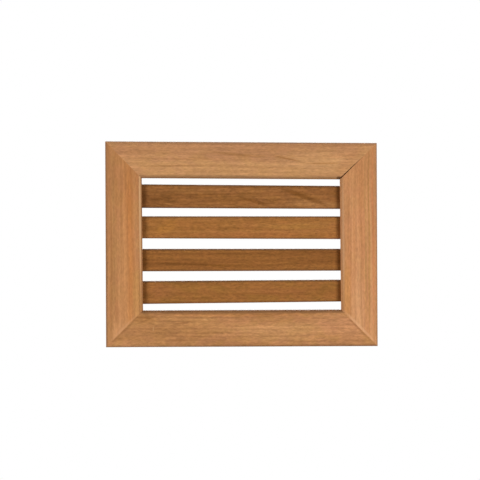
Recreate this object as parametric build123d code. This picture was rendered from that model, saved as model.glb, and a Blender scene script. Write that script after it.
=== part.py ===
from build123d import *
from math import cos, radians, sin, sqrt
import os

# Sauna air vent: four rebated wooden bars mitred into a frame, with fixed slats lying in the rebate
# behind the opening. Air passes straight through the gaps between the slats. It was put together by
# hand and is a little out of true: the right stile is short, so the top rail falls to the right and
# the mitre there stands open.
# Millimetres. X runs to the right as seen from the room, Y into the wall and Z up. The origin is the
# middle of the frame's back, on the face of the wall.

# Frame
vent_width = 270.8
vent_height = 205.4  # along the left stile
top_fall = 2.9  # how far the top rail's right end lies below its left end
bar_width = 36.4
bar_thickness = 18.0
opening_lean = 0.7  # how far the opening's foot stands to the right of its head
outer_ease = 4.0  # radius of the front edge round the outside
inner_ease = 6.0  # radius of the front edge round the opening
back_ease = 0.6  # radius of the back edge round the outside

# Rebate along the inner back edge of every bar, which the slat ends lie in
lip_thickness = 7.0
rebate_width = 9.0

# Top right mitre, which stands open at its inner end
open_mitre_gap = 1.2
open_mitre_length = 34.5
open_mitre_depth = 4.5

# Slats, listed from the top one down
slat_left_widths = (23.7, 22.2, 22.6, 23.0)
slat_right_widths = (23.1, 22.9, 22.0, 21.9)
slat_thickness = 8.0
slat_ease = 3.0
slat_end_gap = 1.0  # room between a slat's end and the wall of the rebate
slat_drifts = (2.0, 2.2, 0.2, -1.1)  # how far above its even place each slat was fixed
slat_turns = (0.64, 0.38, 0.14, -0.31)  # degrees; positive lowers the right-hand end

# Brads, driven from behind through each slat's ends into the lip: flat wire with a T head
brad_width = 1.2
brad_thickness = 1.0
brad_head_width = 2.2
brad_head_depth = 0.8
brad_point_length = 1.5
brad_sink = 0.3  # depth of the head below the slat's back
brad_cover = 2.0  # wood left between the point and the frame's front
brad_spacing = 11.0
brad_rows = 2

# Bent steel V-nails, pressed into the back across each mitre
v_nail_leg = 6.0
v_nail_thickness = 0.6
v_nail_depth = 10.0
v_nail_sink = 0.3
v_nail_half_angle = 45.0  # between each leg and the mitre
v_nails_per_corner = 2

nail_fit = 0.03  # room all round a nail in its hole
cut_margin = 5.0  # how far a cutting shape reaches past what it cuts

frame_front = -bar_thickness
lip_back = frame_front + lip_thickness
slat_back = lip_back + slat_thickness
opening_width = vent_width - 2 * bar_width
opening_bottom = bar_width - vent_height / 2
opening_top = vent_height / 2 - bar_width - top_fall / 2  # half-way along the top rail
slat_length = opening_width - opening_lean + 2 * (rebate_width - slat_end_gap)


def inset(corners, distance):
    # The corners, listed clockwise, of the same outline with every side moved in by the distance.
    moved = []
    for index, corner in enumerate(corners):
        arriving = (corner - corners[index - 1]).normalized()
        leaving = (corners[(index + 1) % len(corners)] - corner).normalized()
        inward_before = Vector(arriving.Y, -arriving.X)
        inward_after = Vector(leaving.Y, -leaving.X)
        reach = distance / (1 + inward_before.dot(inward_after))
        moved.append(corner + (inward_before + inward_after) * reach)
    return moved


def outer_corners():
    # Clockwise as seen from the room, from the top left. A corner's Y is its height.
    side = vent_width / 2
    foot = -vent_height / 2
    head = vent_height / 2
    return [Vector(-side, head), Vector(side, head - top_fall), Vector(side, foot), Vector(-side, foot)]


def opening_corners():
    shifts = (-opening_lean / 2, -opening_lean / 2, opening_lean / 2, opening_lean / 2)
    square = inset(outer_corners(), bar_width)
    return [corner + Vector(shift, 0) for corner, shift in zip(square, shifts)]


def at_depth(corner, depth):
    return Vector(corner.X, depth, corner.Y)


def prism(corners, front, back):
    outline = make_face(Polyline(*[at_depth(corner, front) for corner in corners], close=True))
    return extrude(outline, back - front, dir=(0, 1, 0))


def ease(solid, start, end, radius):
    # Rounds the straight edge that runs from start to end.
    return fillet(solid.edges().sort_by_distance((start + end) / 2)[0], radius)


def mitred_bar(index):
    # The bar on the side that starts at this corner, its ends cut from outer to opening corners.
    outer = outer_corners()
    opening = opening_corners()
    following = (index + 1) % len(outer)
    bar = prism([outer[index], outer[following], opening[following], opening[index]], frame_front, 0)
    for corners, depth, radius in (
        (outer, frame_front, outer_ease),
        (opening, frame_front, inner_ease),
        (outer, 0, back_ease),
    ):
        bar = ease(bar, at_depth(corners[index], depth), at_depth(corners[following], depth), radius)
    rebate = prism(inset(opening, -rebate_width), lip_back, cut_margin)
    return bar - rebate


def open_mitre():
    # The thin wedge of air at the inner end of the top right mitre, on the top rail's side of it.
    outer = outer_corners()
    opening = opening_corners()
    mitre = (outer[1] - opening[1]).normalized()
    rail = (opening[0] - opening[1]).normalized()
    mouth = open_mitre_gap * sqrt(2)
    wedge = [opening[1], opening[1] + rail * mouth, opening[1] + mitre * open_mitre_length]
    return prism(wedge, frame_front - cut_margin, frame_front + open_mitre_depth)


def slat_places():
    # Equal gaps down the middle of the opening, then each slat's own drift and turn.
    widths = [(left + right) / 2 for left, right in zip(slat_left_widths, slat_right_widths)]
    gap = (opening_top - opening_bottom - sum(widths)) / (len(widths) + 1)
    top = opening_top - gap
    for width, drift, turn in zip(widths, slat_drifts, slat_turns):
        yield Location((0, 0, top - width / 2 + drift), (0, turn, 0))
        top -= width + gap


def slat(left_width, right_width):
    end = slat_length / 2
    left = left_width / 2
    right = right_width / 2
    board = prism(
        [Vector(-end, left), Vector(end, right), Vector(end, -right), Vector(-end, -left)],
        lip_back,
        slat_back,
    )
    long_edges = board.edges().filter_by(lambda edge: edge.length > end)
    return fillet(long_edges, slat_ease)


def brad(room=0.0):
    # Head at Z = 0 and chisel point upwards. With room, it is the hole that the brad sits in.
    length = slat_thickness - brad_sink + lip_thickness - brad_cover
    top = -(brad_sink + cut_margin) if room else 0.0
    shoulder = brad_head_depth + room
    head = brad_head_width / 2 + room
    shank = brad_width / 2 + room
    point = length - brad_point_length + room
    outline = make_face(
        Polyline(
            (-head, top),
            (head, top),
            (head, shoulder),
            (shank, shoulder),
            (shank, point),
            (0, length + 2 * room),
            (-shank, point),
            (-shank, shoulder),
            (-head, shoulder),
            close=True,
        )
    )
    return extrude(Plane.XZ * outline, brad_thickness / 2 + room, both=True)


def brad_places():
    # On a slat's back, midway along each end's bearing on the lip, in rows across the slat.
    reach = (opening_width + slat_length) / 4
    for side in (-1, 1):
        for row in range(brad_rows):
            height = (row - (brad_rows - 1) / 2) * brad_spacing
            seat = Plane(
                origin=(side * reach, slat_back - brad_sink, height), x_dir=(1, 0, 0), z_dir=(0, -1, 0)
            )
            yield seat.location


def all_brads(room=0.0):
    single = brad(room)
    return [place * spot * single for place in slat_places() for spot in brad_places()]


def v_nail(room=0.0):
    # Bent edge at the origin pointing along X, driven upwards. With room, it is the slot that it sits in.
    half_angle = radians(v_nail_half_angle)
    leg_end = (-v_nail_leg * cos(half_angle), v_nail_leg * sin(half_angle))
    inner_end = (
        leg_end[0] - v_nail_thickness * sin(half_angle),
        leg_end[1] - v_nail_thickness * cos(half_angle),
    )
    inner_bend = -v_nail_thickness / sin(half_angle)
    outline = make_face(
        Polyline(
            (0, 0),
            leg_end,
            inner_end,
            (inner_bend, 0),
            (inner_end[0], -inner_end[1]),
            (leg_end[0], -leg_end[1]),
            close=True,
        )
    )
    if not room:
        return extrude(outline, v_nail_depth)
    slot = offset(outline, room, kind=Kind.INTERSECTION)
    mouth = v_nail_sink + cut_margin
    return Pos(0, 0, -mouth) * extrude(slot, mouth + v_nail_depth + room)


def v_nail_places():
    # Spread evenly along the part of each mitre that lies outside the rebate, each pointing outwards.
    half_reach = v_nail_leg * cos(radians(v_nail_half_angle)) / 2
    for outer, inner in zip(outer_corners(), inset(opening_corners(), -rebate_width)):
        mitre = (outer - inner).normalized()
        for index in range(v_nails_per_corner):
            middle = inner + (outer - inner) * ((index + 1) / (v_nails_per_corner + 1))
            bend = at_depth(middle + mitre * half_reach, -v_nail_sink)
            yield Plane(origin=bend, x_dir=at_depth(mitre, 0), z_dir=(0, -1, 0)).location


def all_v_nails(room=0.0):
    single = v_nail(room)
    return [place * single for place in v_nail_places()]


def frame_bars():
    top_rail, right_stile, bottom_rail, left_stile = [mitred_bar(index) for index in range(4)]
    nail_slots = all_v_nails(nail_fit)
    brad_holes = all_brads(nail_fit)
    return {
        "top_rail": top_rail - open_mitre() - nail_slots,
        "right_stile": right_stile - nail_slots - brad_holes,
        "bottom_rail": bottom_rail - nail_slots,
        "left_stile": left_stile - nail_slots - brad_holes,
    }


def slats():
    holes = [spot * brad(nail_fit) for spot in brad_places()]
    placed = zip(slat_left_widths, slat_right_widths, slat_places())
    return {
        f"slat_{index}": place * (slat(left, right) - holes)
        for index, (left, right, place) in enumerate(placed, start=1)
    }


def main():
    nodes = frame_bars()
    nodes.update(slats())
    nodes["slat_brads"] = Compound(children=all_brads())
    nodes["corner_v_nails"] = Compound(children=all_v_nails())
    os.makedirs("parts", exist_ok=True)
    for name, shape in nodes.items():
        export_step(shape, f"parts/{name}.step")


main()
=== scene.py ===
import math

import bpy
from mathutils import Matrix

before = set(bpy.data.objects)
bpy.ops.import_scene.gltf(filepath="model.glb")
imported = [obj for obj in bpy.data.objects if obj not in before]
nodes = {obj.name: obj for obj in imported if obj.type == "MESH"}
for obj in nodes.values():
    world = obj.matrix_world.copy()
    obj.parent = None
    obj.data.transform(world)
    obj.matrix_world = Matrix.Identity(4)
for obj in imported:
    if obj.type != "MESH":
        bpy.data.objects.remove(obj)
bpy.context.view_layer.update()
print("frame loaded:", len(nodes), "nodes")


def linear(hexColour):
    # sRGB hex to the linear values that the shaders take
    channels = [int(hexColour[i:i + 2], 16) / 255 for i in (1, 3, 5)]
    return [c / 12.92 if c <= 0.04045 else ((c + 0.055) / 1.055) ** 2.4 for c in channels] + [1.0]


def addNode(tree, kind, settings=None, inputs=None):
    # a socket given as an input is linked, anything else is set as the input's value
    node = tree.nodes.new(kind)
    node.location = (190 * len(tree.nodes), 0)  # side by side in the editor
    for name, value in (settings or {}).items():
        setattr(node, name, value)
    for socket, value in (inputs or {}).items():
        if isinstance(value, bpy.types.NodeSocket):
            tree.links.new(value, node.inputs[socket])
        else:
            node.inputs[socket].default_value = value
    return node


def newMaterial(name):
    material = bpy.data.materials.new(name)
    material.use_nodes = True
    material.node_tree.nodes.clear()
    return material, material.node_tree


def seenRays(tree):
    # 1 for what the camera sees, straight or in gloss or glass, 0 for light that only bounces
    ray = addNode(tree, "ShaderNodeLightPath").outputs
    seen = addNode(tree, "ShaderNodeMath", {"operation": "MAXIMUM"}, {
        0: ray["Is Camera Ray"], 1: ray["Is Glossy Ray"],
    }).outputs["Value"]
    return addNode(tree, "ShaderNodeMath", {"operation": "MAXIMUM"}, {
        0: seen, 1: ray["Is Transmission Ray"],
    }).outputs["Value"]


def dress(nodeName, material):
    mesh = nodes[nodeName].data
    mesh.materials.clear()
    mesh.materials.append(material)


# Cedar: planed and sanded, no finish on it. Soft reddish brown with faint growth rings, drawn-out
# bands of paler and pinker wood, short dark flecks where fibres are cut, and a dull satin sheen.
cedar = {
    "warp": (95.0, 26.0, 2.0),  # slow bends in the grain: mm along it, mm across it, noise detail
    "wander": 1.6,  # mm that they take a ring to either side
    # each pattern: mm along the grain, mm across it, noise detail, levels where it sets in and is full
    "bands": (170.0, 6.5, 3.0, 0.3, 0.7),  # paler and darker wood
    "mottle": (15.0, 9.0, 1.0, 0.37, 0.63),  # pinker where light catches the fibres differently
    "streaks": (60.0, 2.0, 2.0, 0.3, 0.7),  # drawn out within a band
    "flecks": (7.0, 2.4, 1.0, 0.3, 0.7),  # short ones
    "fibre": (3.8, 1.2, 1.0, 0.25, 0.75),  # real fibres are 0.04 mm wide, drawn coarser so that they show
    "specks": (2.2, 1.0, 1.0, 0.55, 0.75),  # open ends of fibres, drawn coarser in the same way
    "noiseRoughness": 0.55,
    "latewood": (0.45, 0.85),  # parts of a ring where its darker wood sets in and is full
    "roughness": (0.58, 0.72),
    "gloss": 0.06,
    "ior": 1.5,
    "relief": 0.00006,  # m
    "reliefStrength": 0.5,
    "speckDepth": 0.8,  # where the fibre stands 1 high
    "markDepth": 30.0,  # mm into the board that a mark goes
    "markFade": 0.7,  # share of the way from a mark's rim to its middle over which it comes in
    "arris": "#5f5040",  # eased edges, darker and greyer: painted shade where they round away from the light
    "arrisReach": (400.0, 9.0),  # mm along an edge and mm into the board
}
grainTurn = {  # turns object coordinates so that x runs along the grain and y across the face
    "x": (math.radians(-90), 0, 0),
    "z": (math.radians(90), 0, math.radians(90)),
}
depthSign = {"x": -1, "z": 1}  # of the third axis after that turn
perMetre = 1000  # millimetres
waveLength = math.pi / 10  # of a wave texture at scale 1
noiseMiddle = (0.5, 0.5, 0.5)
smooth = {"interpolation_type": "SMOOTHSTEP"}
blend = {"data_type": "RGBA"}  # inputs 0 for the factor, 6 and 7 for the colours, output 2 for the result


def drawnOut(tree, board, vector, length, width, detail):
    # noise stretched along the grain
    cells = addNode(tree, "ShaderNodeMapping", {}, {
        "Vector": vector, "Scale": (1 / length, 1 / width, 1 / width),
    }).outputs["Vector"]
    return addNode(tree, "ShaderNodeTexNoise", {"noise_dimensions": "4D"}, {
        "Vector": cells, "W": board["seed"], "Scale": 1.0, "Detail": detail,
        "Roughness": cedar["noiseRoughness"],
    }).outputs


def frontFace(board):
    # where the board's face lies on the third axis, in mm
    front = min(vertex.co.y for vertex in nodes[board["node"]].data.vertices)
    return depthSign[board["grain"]] * front * perMetre


def painted(tree, board, colour, vector, mark, depth=cedar["markDepth"]):
    # a soft lens of another colour on the board's face
    (alongAt, acrossAt), (halfLength, halfWidth), tilt, markColour, strength = mark
    lens = addNode(tree, "ShaderNodeMapping", {"vector_type": "TEXTURE"}, {
        "Vector": vector, "Location": (alongAt, acrossAt, frontFace(board)),
        "Rotation": (0, 0, math.radians(tilt)), "Scale": (halfLength, halfWidth, depth),
    }).outputs["Vector"]
    inside = addNode(tree, "ShaderNodeTexGradient", {"gradient_type": "SPHERICAL"}, {"Vector": lens})
    cover = addNode(tree, "ShaderNodeMapRange", smooth, {
        "Value": inside.outputs["Fac"], "From Max": cedar["markFade"], "To Max": strength,
    }).outputs["Result"]
    return addNode(tree, "ShaderNodeMix", blend, {
        0: cover, 6: colour, 7: linear(markColour),
    }).outputs[2]


def wavyGrain(tree, board, along):
    # the rings wander slowly, and everything that follows the grain wanders with them
    drift = addNode(tree, "ShaderNodeVectorMath", {"operation": "SUBTRACT"}, {
        0: drawnOut(tree, board, along, *cedar["warp"])["Color"], 1: noiseMiddle,
    }).outputs["Vector"]
    return addNode(tree, "ShaderNodeVectorMath", {"operation": "MULTIPLY_ADD"}, {
        0: drift, 1: (0.0, 2 * cedar["wander"], 2 * cedar["wander"]), 2: along,
    }).outputs["Vector"]


def grainPatterns(tree, board, along, wavy):
    # each pattern from 0 to 1
    grain = {}
    for name in ("bands", "mottle", "streaks", "flecks", "fibre", "specks"):
        length, width, detail, low, high = cedar[name]
        vector = along if name == "mottle" else wavy
        grain[name] = addNode(tree, "ShaderNodeMapRange", smooth, {
            "Value": drawnOut(tree, board, vector, length, width, detail)["Fac"],
            "From Min": low, "From Max": high,
        }).outputs["Result"]
    return grain


def growthRings(tree, board, wavy):
    turned = addNode(tree, "ShaderNodeMapping", {}, {
        "Vector": wavy,
        "Rotation": (math.radians(board["ringTilt"]), 0, math.radians(board["ringSlope"])),
    }).outputs["Vector"]
    rings = addNode(tree, "ShaderNodeTexWave", {"bands_direction": "Y", "wave_profile": "SAW"}, {
        "Vector": turned, "Scale": waveLength / board["ringSpacing"],
    }).outputs["Fac"]
    low, high = cedar["latewood"]
    return addNode(tree, "ShaderNodeMapRange", smooth, {
        "Value": rings, "From Min": low, "From Max": high, "To Max": board["rings"],
    }).outputs["Result"]


def woodColour(tree, board, along, wavy, grain):
    pinker = addNode(tree, "ShaderNodeMath", {"operation": "MULTIPLY"}, {
        0: grain["mottle"], 1: board["mottle"],
    }).outputs["Value"]
    colour = addNode(tree, "ShaderNodeMix", blend, {
        0: grain["bands"], 6: linear(board["pale"]), 7: linear(board["deep"]),
    }).outputs[2]
    colour = addNode(tree, "ShaderNodeMix", blend, {
        0: pinker, 6: colour, 7: linear(board["pink"]),
    }).outputs[2]
    for mark in board["patches"]:
        colour = painted(tree, board, colour, wavy, mark)
    colour = addNode(tree, "ShaderNodeMix", blend, {
        0: growthRings(tree, board, wavy), 6: colour, 7: linear(board["late"]),
    }).outputs[2]
    for mark in board["lines"]:
        colour = painted(tree, board, colour, wavy, mark)
    for name, amount in zip(("streaks", "flecks", "fibre", "specks"), board["shades"]):
        amount = -amount if name == "specks" else amount  # specks are the dark ones
        shade = addNode(tree, "ShaderNodeMapRange", {}, {
            "Value": grain[name], "To Min": 1 - amount, "To Max": 1 + amount,
        }).outputs["Result"]
        colour = addNode(tree, "ShaderNodeVectorMath", {"operation": "SCALE"}, {
            0: colour, "Scale": shade,
        }).outputs["Vector"]
    # painted shade along the rounded edges, where they turn away from the light
    arrisLength, arrisDepth = cedar["arrisReach"]
    for (startAlong, startAcross), (endAlong, endAcross), width, strength in board["edges"]:
        middle = ((startAlong + endAlong) / 2, (startAcross + endAcross) / 2)
        tilt = math.degrees(math.atan2(endAcross - startAcross, endAlong - startAlong))
        edge = (middle, (arrisLength, width), tilt, cedar["arris"], strength)
        colour = painted(tree, board, colour, along, edge, arrisDepth)
    # painted shadows and highlights: in the mitres, on the stiles' inner edges and at the slat ends
    for mark in board["joints"]:
        colour = painted(tree, board, colour, along, mark)
    return colour


def cedarBoard(board):
    material, tree = newMaterial("planedCedar_" + board["node"])
    place = addNode(tree, "ShaderNodeTexCoord").outputs["Object"]
    along = addNode(tree, "ShaderNodeMapping", {}, {
        "Vector": place, "Rotation": grainTurn[board["grain"]], "Scale": (perMetre, perMetre, perMetre),
    }).outputs["Vector"]  # millimetres from here on
    wavy = wavyGrain(tree, board, along)
    grain = grainPatterns(tree, board, along, wavy)
    height = addNode(tree, "ShaderNodeMath", {"operation": "MULTIPLY_ADD"}, {
        0: grain["specks"], 1: -cedar["speckDepth"], 2: grain["fibre"],
    }).outputs["Value"]
    relief = addNode(tree, "ShaderNodeBump", {}, {
        "Height": height, "Strength": cedar["reliefStrength"], "Distance": cedar["relief"],
    }).outputs["Normal"]
    satin, dull = cedar["roughness"]
    dullness = addNode(tree, "ShaderNodeMapRange", {}, {
        "Value": grain["fibre"], "To Min": satin, "To Max": dull,
    }).outputs["Result"]
    surface = addNode(tree, "ShaderNodeBsdfPrincipled", {}, {
        "Base Color": woodColour(tree, board, along, wavy, grain), "Roughness": dullness, "Normal": relief,
        "IOR": cedar["ior"], "Specular IOR Level": cedar["gloss"],
    })
    addNode(tree, "ShaderNodeOutputMaterial", {}, {"Surface": surface.outputs["BSDF"]})
    dress(board["node"], material)


# Mottle is how far the wood goes to pink, and rings how far it goes to late.
# Ring spacing is in mm, ring tilt and slope are in degrees.
# Shades are how much streaks, flecks, fibre and specks change the brightness.
# Patches, lines, painted shadows and highlights are ((along, across), (half length, half width), tilt,
# colour, strength).
# Edges are (start, end, width of the darker tone in from the edge, strength), painted shade on the rounded
# edges.
# Along and across are x and z on rails and slats, z and x on stiles, in mm from the middle of the back.
topRail = {
    "node": "top_rail", "grain": "x", "seed": 1.3,
    "pale": "#c4915f", "deep": "#b07e51", "pink": "#bc8560", "late": "#a87548", "mottle": 0.5,
    "shades": (0.09, 0.05, 0.11, 0.07),
    "rings": 0.18, "ringSpacing": 2.6, "ringTilt": 62, "ringSlope": 0.7,
    "patches": [
        ((0, 97), (170, 12), -0.6, "#b07c55", 0.6),
        ((20, 72), (150, 11), -0.6, "#c49360", 0.5),
        ((-112, 90), (26, 10), -8.0, "#bd855c", 0.5),
        ((100, 87.5), (22, 3.5), 2.0, "#c08455", 0.45),
        ((78, 82), (56, 16), -2.0, "#cc9a69", 0.4),
        ((107, 81), (24, 8), 45.0, "#b07b50", 0.45),
    ],
    "lines": [
        ((-8, 89.5), (34, 2.0), -6.5, "#96683a", 0.5),
        ((46, 84.5), (16, 1.4), -12.0, "#95602f", 0.55),
        ((-72, 77.2), (40, 1.0), 0.2, "#a06f42", 0.5),
        ((82, 79.5), (22, 1.2), 0.5, "#a3703f", 0.5),
        ((10, 76), (60, 0.9), -0.4, "#a5744a", 0.35),
    ],
    "edges": [
        ((-135.4, 102.7), (135.4, 99.8), 2.2, 0.42),
        ((-99.4, 65.9), (98.7, 63.8), 4.6, 0.38),
    ],
    # painted shade in the open mitre: a dark spot at its inner corner and a faint dark line along it
    "joints": [
        ((97.2, 65.0), (3.4, 2.2), 0.0, "#4f3319", 0.8),
        ((112, 78), (12, 0.9), 44.4, "#5a3a1c", 0.15),
    ],
}
bottomRail = {
    "node": "bottom_rail", "grain": "x", "seed": 4.1,
    "pale": "#bf8c59", "deep": "#a77446", "pink": "#b87e57", "late": "#9a693e", "mottle": 0.5,
    "shades": (0.09, 0.1, 0.11, 0.07),
    "rings": 0.2, "ringSpacing": 2.1, "ringTilt": 55, "ringSlope": 0.2,
    "patches": [
        ((-75, -84), (75, 20), 0.0, "#a77546", 0.6),
        ((-98, -74), (20, 8), 0.0, "#9a6838", 0.5),
        ((0, -69), (130, 5), 0.0, "#b97a42", 0.5),
        ((100, -82), (42, 14), -6.0, "#c2885f", 0.6),
        ((40, -88), (60, 12), 0.0, "#c3915f", 0.45),
    ],
    "lines": [
        ((-63, -96), (12, 2.0), 0.0, "#9a683d", 0.5),
        ((-50, -92), (40, 1.0), -2.0, "#a06c40", 0.4),
        ((-97, -73.5), (10, 1.6), -6.0, "#8f5c30", 0.5),
        ((-57, -78.5), (12, 1.2), 8.0, "#95633a", 0.45),
        ((-36, -75.5), (4, 1.2), -10.0, "#c99561", 0.5),
        ((-87.8, -84.5), (1.0, 3.0), 0.0, "#c99a68", 0.5),
    ],
    "edges": [
        ((-135.4, -102.7), (135.4, -102.7), 3.0, 0.24),
        ((-98.7, -66.3), (99.4, -66.3), 4.8, 0.44),
    ],
    # painted shadow lines along both mitres
    "joints": [
        ((116.6, -85.3), (26, 1.3), -45.3, "#91613a", 0.35),
        ((-116.2, -85.3), (25, 1.3), 44.7, "#8a5c34", 0.3),
    ],
}
leftStile = {
    "node": "left_stile", "grain": "z", "seed": 7.7,
    "pale": "#c28b59", "deep": "#ac7646", "pink": "#bd7e56", "late": "#a06c40", "mottle": 0.4,
    "shades": (0.08, 0.03, 0.09, 0.03),
    "rings": 0.2, "ringSpacing": 3.1, "ringTilt": -58, "ringSlope": 0.3,
    "patches": [
        ((0, -112), (140, 8), 0.0, "#c27c42", 0.55),
        ((0, -127.5), (150, 5), 0.0, "#a97a4a", 0.5),
        ((-35, -117), (110, 7), 0.0, "#cb925f", 0.55),
        ((30, -132), (120, 4), 0.0, "#ab7549", 0.5),
        ((-48, -104), (36, 6), 0.0, "#c08d4c", 0.4),
        ((-92, -121), (26, 13), 0.0, "#cd9465", 0.55),
        ((85, -117), (45, 22), 0.0, "#b07a4c", 0.25),
    ],
    "lines": [
        ((10, -119.5), (120, 1.0), 0.2, "#a8713f", 0.3),
        ((0, -129.5), (120, 1.0), 0.0, "#a56f42", 0.35),
    ],
    "edges": [
        ((-102.7, -135.4), (102.7, -135.4), 3.2, 0.33),
        ((-66.3, -98.7), (65.9, -99.4), 1.2, 0.4),
    ],
    # painted highlights: a pale line along the inner edge, and one along the mitre where its edge catches
    # the light
    "joints": [
        ((30, -100.8), (105, 1.2), -0.3, "#e8ba88", 0.8),
        ((-83.6, -117.9), (24, 1.5), 45.3, "#d7a072", 0.35),
    ],
}
rightStile = {
    "node": "right_stile", "grain": "z", "seed": 9.2,
    "pale": "#ce9665", "deep": "#bb8052", "pink": "#c8885f", "late": "#aa7648", "mottle": 0.4,
    "shades": (0.08, 0.03, 0.09, 0.03),
    "rings": 0.2, "ringSpacing": 2.7, "ringTilt": -66, "ringSlope": -0.2,
    "patches": [
        ((-50, 104), (44, 6), 0.0, "#c98c50", 0.55),
        ((85, 118), (60, 24), 0.0, "#b87f50", 0.5),
        ((-70, 116), (55, 10), 0.0, "#d29b6e", 0.5),
        ((-82, 112), (27, 6), -44.7, "#dba578", 0.4),
    ],
    "lines": [
        ((0, 123.6), (130, 1.3), 0.1, "#b48650", 0.55),
        ((0, 126.9), (140, 1.5), 0.1, "#a87942", 0.6),
        ((0, 130.8), (140, 1.4), 0.0, "#bf774b", 0.55),
        ((20, 112), (60, 1.2), 0.4, "#b87c4c", 0.35),
    ],
    "edges": [
        ((-102.7, 135.4), (99.8, 135.4), 2.6, 0.32),
        ((-66.3, 99.4), (63.8, 98.7), 1.5, 0.15),
    ],
    # painted highlights: a pale line along the mitre where its edge catches the light, and one along the
    # inner edge
    "joints": [
        ((-83.6, 118.3), (27, 1.6), -44.7, "#dca67a", 0.55),
        ((10, 101.2), (95, 1.4), -0.3, "#dcaa7e", 0.55),
    ],
}
# The painted shadow at each end of a slat, cast by the stiles.
slatEndShadows = {"along": 99.5, "halfSize": (7, 16), "left": "#4a2800", "right": "#5a2c00"}


def endShade(across, leftStrength, rightStrength):
    # painted shadow that the stiles cast on a slat's ends, where it goes behind them
    reach, halfSize = slatEndShadows["along"], slatEndShadows["halfSize"]
    return [
        ((-reach, across), halfSize, 0.0, slatEndShadows["left"], leftStrength),
        ((reach, across), halfSize, 0.0, slatEndShadows["right"], rightStrength),
    ]


slatOne = {
    "node": "slat_1", "grain": "x", "seed": 12.6,
    "pale": "#966536", "deep": "#815328", "pink": "#966139", "late": "#6f4421", "mottle": 0.4,
    "shades": (0.06, 0.11, 0.15, 0.12),
    "rings": 0.22, "ringSpacing": 2.2, "ringTilt": 50, "ringSlope": -0.6,
    "patches": [
        ((-85, 46), (38, 14), 0.0, "#7a4e27", 0.55),
        ((72, 39.5), (34, 6), -4.0, "#ad7949", 0.55),
    ],
    "lines": [
        ((63, 46.2), (36, 3.2), -20.0, "#6b4119", 0.65),
        ((14, 42), (24, 2.4), -14.0, "#70451b", 0.6),
        ((-40, 50), (60, 1.0), -1.0, "#7a4c24", 0.5),
        ((-84, 45), (9, 1.4), 6.0, "#68401c", 0.5),
        ((-72, 40), (7, 1.2), -8.0, "#a5713f", 0.45),
    ],
    "edges": [
        ((-106.5, 60.1), (106.8, 57.4), 2.6, 0.3),
        ((-106.8, 36.4), (106.5, 34.3), 2.6, 0.22),
    ],
    "joints": endShade(47.2, 0.35, 0.35),
}
slatTwo = {
    "node": "slat_2", "grain": "x", "seed": 15.4,
    "pale": "#a26e3b", "deep": "#92602f", "pink": "#a86b3b", "late": "#895828", "mottle": 0.4,
    "shades": (0.06, 0.05, 0.15, 0.12),
    "rings": 0.15, "ringSpacing": 2.8, "ringTilt": 64, "ringSlope": -0.3,
    "patches": [
        ((0, 9), (110, 4), 0.0, "#a8693a", 0.35),
        ((-75, 16), (16, 8), 25.0, "#a97332", 0.4),
        ((50, 17), (40, 4), 0.0, "#a97a3c", 0.4),
    ],
    "lines": [
        ((60, 18), (40, 1.0), 0.0, "#8a582a", 0.4),
        ((-50, 24), (14, 1.0), 0.0, "#8a5526", 0.4),
    ],
    "edges": [
        ((-106.6, 28.0), (106.7, 26.9), 3.0, 0.34),
        ((-106.7, 5.8), (106.6, 4.0), 2.6, 0.24),
    ],
    "joints": endShade(16.2, 0.25, 0.35),
}
slatThree = {
    "node": "slat_3", "grain": "x", "seed": 18.9,
    "pale": "#92602f", "deep": "#815126", "pink": "#8e592e", "late": "#6b421d", "mottle": 0.4,
    "shades": (0.09, 0.05, 0.15, 0.12),
    "rings": 0.28, "ringSpacing": 1.9, "ringTilt": 70, "ringSlope": 0.1,
    "patches": [],
    "lines": [
        ((-53, -20.0), (50, 1.6), -2.0, "#6a411a", 0.6),
        ((-20, -21.6), (24, 1.6), 0.0, "#784d1c", 0.4),
        ((40, -11), (50, 0.9), 0.0, "#6f461f", 0.35),
    ],
    "edges": [
        ((-106.6, -4.8), (106.7, -5.6), 2.6, 0.32),
        ((-106.7, -27.4), (106.6, -27.6), 2.6, 0.28),
    ],
    "joints": endShade(-16.3, 0.35, 0.35),
}
slatFour = {
    "node": "slat_4", "grain": "x", "seed": 21.5,
    "pale": "#9a6934", "deep": "#895b2b", "pink": "#9c6136", "late": "#7b4e24", "mottle": 0.4,
    "shades": (0.06, 0.05, 0.15, 0.12),
    "rings": 0.18, "ringSpacing": 2.4, "ringTilt": 57, "ringSlope": 0.5,
    "patches": [
        ((-78, -48), (20, 10), 0.0, "#9a613b", 0.4),
        ((30, -48), (60, 5), 0.0, "#a0653a", 0.35),
    ],
    "lines": [((20, -50), (60, 1.0), 1.0, "#814f26", 0.4)],
    "edges": [
        ((-106.7, -37.2), (106.6, -36.6), 2.6, 0.32),
        ((-106.6, -60.2), (106.7, -58.5), 2.6, 0.26),
    ],
    "joints": endShade(-48.2, 0.35, 0.3),
}
for board in (topRail, bottomRail, leftStile, rightStile, slatOne, slatTwo, slatThree, slatFour):
    cedarBoard(board)
print("boards dressed")


# Nails: bright drawn steel wire and strip. Grey, half dull, with fine lines along the way it was drawn.
nails = {
    "nodes": ("slat_brads", "corner_v_nails"),
    "bright": "#bdbcb8", "dull": "#8f8d89",
    "drawLines": (8.0, 0.25),  # mm along and across; real lines are 0.02 mm wide, drawn coarser
    "detail": 3.0,
    "levels": (0.3, 0.7),  # of the noise, where a line is dull and where it is bright
    "roughness": (0.28, 0.45),  # bright, dull
    "relief": 0.00001,  # m
    "reliefStrength": 0.4,
}


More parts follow.
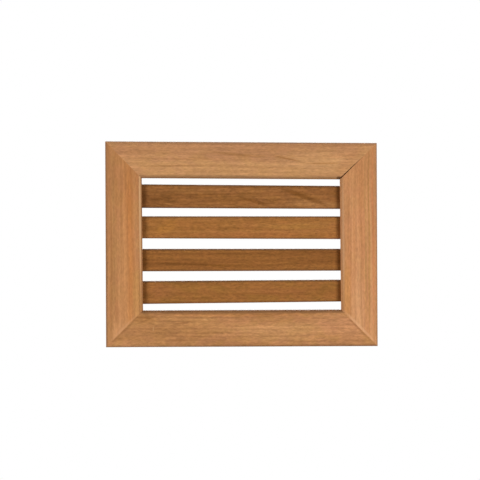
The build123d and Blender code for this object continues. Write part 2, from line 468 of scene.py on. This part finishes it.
def drawnSteel():
    material, tree = newMaterial("drawnSteel_nails")
    place = addNode(tree, "ShaderNodeTexCoord").outputs["Object"]
    length, width = (size / perMetre for size in nails["drawLines"])
    cells = addNode(tree, "ShaderNodeMapping", {}, {
        "Vector": place, "Scale": (1 / width, 1 / length, 1 / width),
    }).outputs["Vector"]
    lines = addNode(tree, "ShaderNodeTexNoise", {}, {
        "Vector": cells, "Scale": 1.0, "Detail": nails["detail"],
    }).outputs["Fac"]
    low, high = nails["levels"]
    tone = addNode(tree, "ShaderNodeValToRGB", {}, {"Fac": lines})
    dullStop, brightStop = tone.color_ramp.elements
    dullStop.position = low
    dullStop.color = linear(nails["dull"])
    brightStop.position = high
    brightStop.color = linear(nails["bright"])
    bright, dull = nails["roughness"]
    dullness = addNode(tree, "ShaderNodeMapRange", {}, {
        "Value": lines, "From Min": low, "From Max": high, "To Min": dull, "To Max": bright,
    }).outputs["Result"]
    relief = addNode(tree, "ShaderNodeBump", {}, {
        "Height": lines, "Strength": nails["reliefStrength"], "Distance": nails["relief"],
    }).outputs["Normal"]
    surface = addNode(tree, "ShaderNodeBsdfPrincipled", {}, {
        "Base Color": tone.outputs["Color"], "Metallic": 1.0, "Roughness": dullness, "Normal": relief,
    })
    addNode(tree, "ShaderNodeOutputMaterial", {}, {"Surface": surface.outputs["BSDF"]})
    for name in nails["nodes"]:
        dress(name, material)


drawnSteel()
print("nails dressed")


# Floor: a matt pale sheet below the vent, out of the front view, that fades out towards its rim.
floor = {
    "middle": (0, -0.22, -0.3), "radius": 0.44, "fadeFrom": 0.24,  # m
    "corners": 96,
    "colour": "#efeeec",
    "bounce": 0.35,  # share of its light that it throws back up at the vent
}


def mattPaper():
    material, tree = newMaterial("mattPaper_floor")
    place = addNode(tree, "ShaderNodeTexCoord").outputs["Object"]
    reach = addNode(tree, "ShaderNodeVectorMath", {"operation": "DISTANCE"}, {
        0: place, 1: floor["middle"],
    }).outputs["Value"]
    strength = addNode(tree, "ShaderNodeMath", {"operation": "MAXIMUM"}, {
        0: seenRays(tree), 1: floor["bounce"],
    }).outputs["Value"]
    shown = addNode(tree, "ShaderNodeMapRange", smooth, {
        "Value": reach, "From Min": floor["fadeFrom"], "From Max": floor["radius"],
        "To Min": strength, "To Max": 0.0,
    }).outputs["Result"]
    paper = addNode(tree, "ShaderNodeBsdfDiffuse", {}, {"Color": linear(floor["colour"])})
    clear = addNode(tree, "ShaderNodeBsdfTransparent")
    mix = addNode(tree, "ShaderNodeMixShader", {}, {
        0: shown, 1: clear.outputs["BSDF"], 2: paper.outputs["BSDF"],
    })
    addNode(tree, "ShaderNodeOutputMaterial", {}, {"Surface": mix.outputs["Shader"]})
    return material


def paleFloor():
    bpy.ops.object.select_all(action="DESELECT")
    bpy.ops.mesh.primitive_circle_add(
        vertices=floor["corners"], radius=floor["radius"], fill_type="NGON", location=floor["middle"],
    )
    sheet = bpy.context.object
    sheet.name = "pale_floor"
    bpy.ops.object.mode_set(mode="EDIT")
    bpy.ops.mesh.select_all(action="SELECT")
    bpy.ops.mesh.inset(thickness=floor["radius"] - floor["fadeFrom"])
    bpy.ops.object.mode_set(mode="OBJECT")
    bpy.ops.object.transform_apply()  # its place goes into its mesh
    sheet.data.materials.append(mattPaper())


paleFloor()
print("floor laid")


# Light: a softbox on each side of the camera, one behind, one overhead, and a low white surround.
softboxes = {  # places and sizes in m
    "softbox_left": {"place": (-1.3, -0.95, -0.05), "size": (0.5, 0.5), "watts": 16.8},
    "softbox_right": {"place": (1.2, -1.06, -0.05), "size": (0.5, 0.5), "watts": 19.7},
    "softbox_behind": {"place": (0.0, 1.3, 0.65), "size": (0.9, 0.7), "watts": 17.0},
    "softbox_overhead": {"place": (0.0, 0.55, 1.35), "size": (0.8, 0.8), "watts": 15.0},
}
surround = {
    "colour": "#ffffff",
    "seen": 1.0, "ambient": 0.05,  # strengths where it is seen and where it only lights
}


def placeSoftboxes():
    for name, softbox in softboxes.items():
        bpy.ops.object.light_add(type="AREA", location=softbox["place"])
        lamp = bpy.context.object
        lamp.name = name
        lamp.data.shape = "RECTANGLE"
        lamp.data.size, lamp.data.size_y = softbox["size"]
        lamp.data.energy = softbox["watts"]
        lamp.rotation_euler = lamp.location.to_track_quat("Z", "Y").to_euler()  # faces the vent
        lamp.visible_camera = False


def whiteSurround():
    world = bpy.data.worlds.new("whiteSurround")
    bpy.context.scene.world = world
    world.use_nodes = True
    tree = world.node_tree
    tree.nodes.clear()
    colour = linear(surround["colour"])
    ambient = addNode(tree, "ShaderNodeBackground", {}, {"Color": colour, "Strength": surround["ambient"]})
    seen = addNode(tree, "ShaderNodeBackground", {}, {"Color": colour, "Strength": surround["seen"]})
    mix = addNode(tree, "ShaderNodeMixShader", {}, {
        0: seenRays(tree), 1: ambient.outputs["Background"], 2: seen.outputs["Background"],
    })
    addNode(tree, "ShaderNodeOutputWorld", {}, {"Surface": mix.outputs["Shader"]})


placeSoftboxes()
whiteSurround()
bpy.context.scene.view_settings.view_transform = "Standard"
print("lights placed")


# Camera: square on to the front, about a metre off, held a quarter of a degree out of level.
camera = {
    "place": (-0.00138, -1.018, 0.00367),  # m
    "lens": 75.5, "sensor": 36.0,  # mm
    "roll": 0.26,  # degrees
}


def placeCamera():
    level = math.radians(90)
    roll = math.radians(camera["roll"])
    bpy.ops.object.camera_add(location=camera["place"], rotation=(level, roll, 0))
    eye = bpy.context.object
    eye.name = "photo_camera"
    eye.data.lens = camera["lens"]
    eye.data.sensor_width = camera["sensor"]
    bpy.context.scene.camera = eye


placeCamera()
print("camera placed")
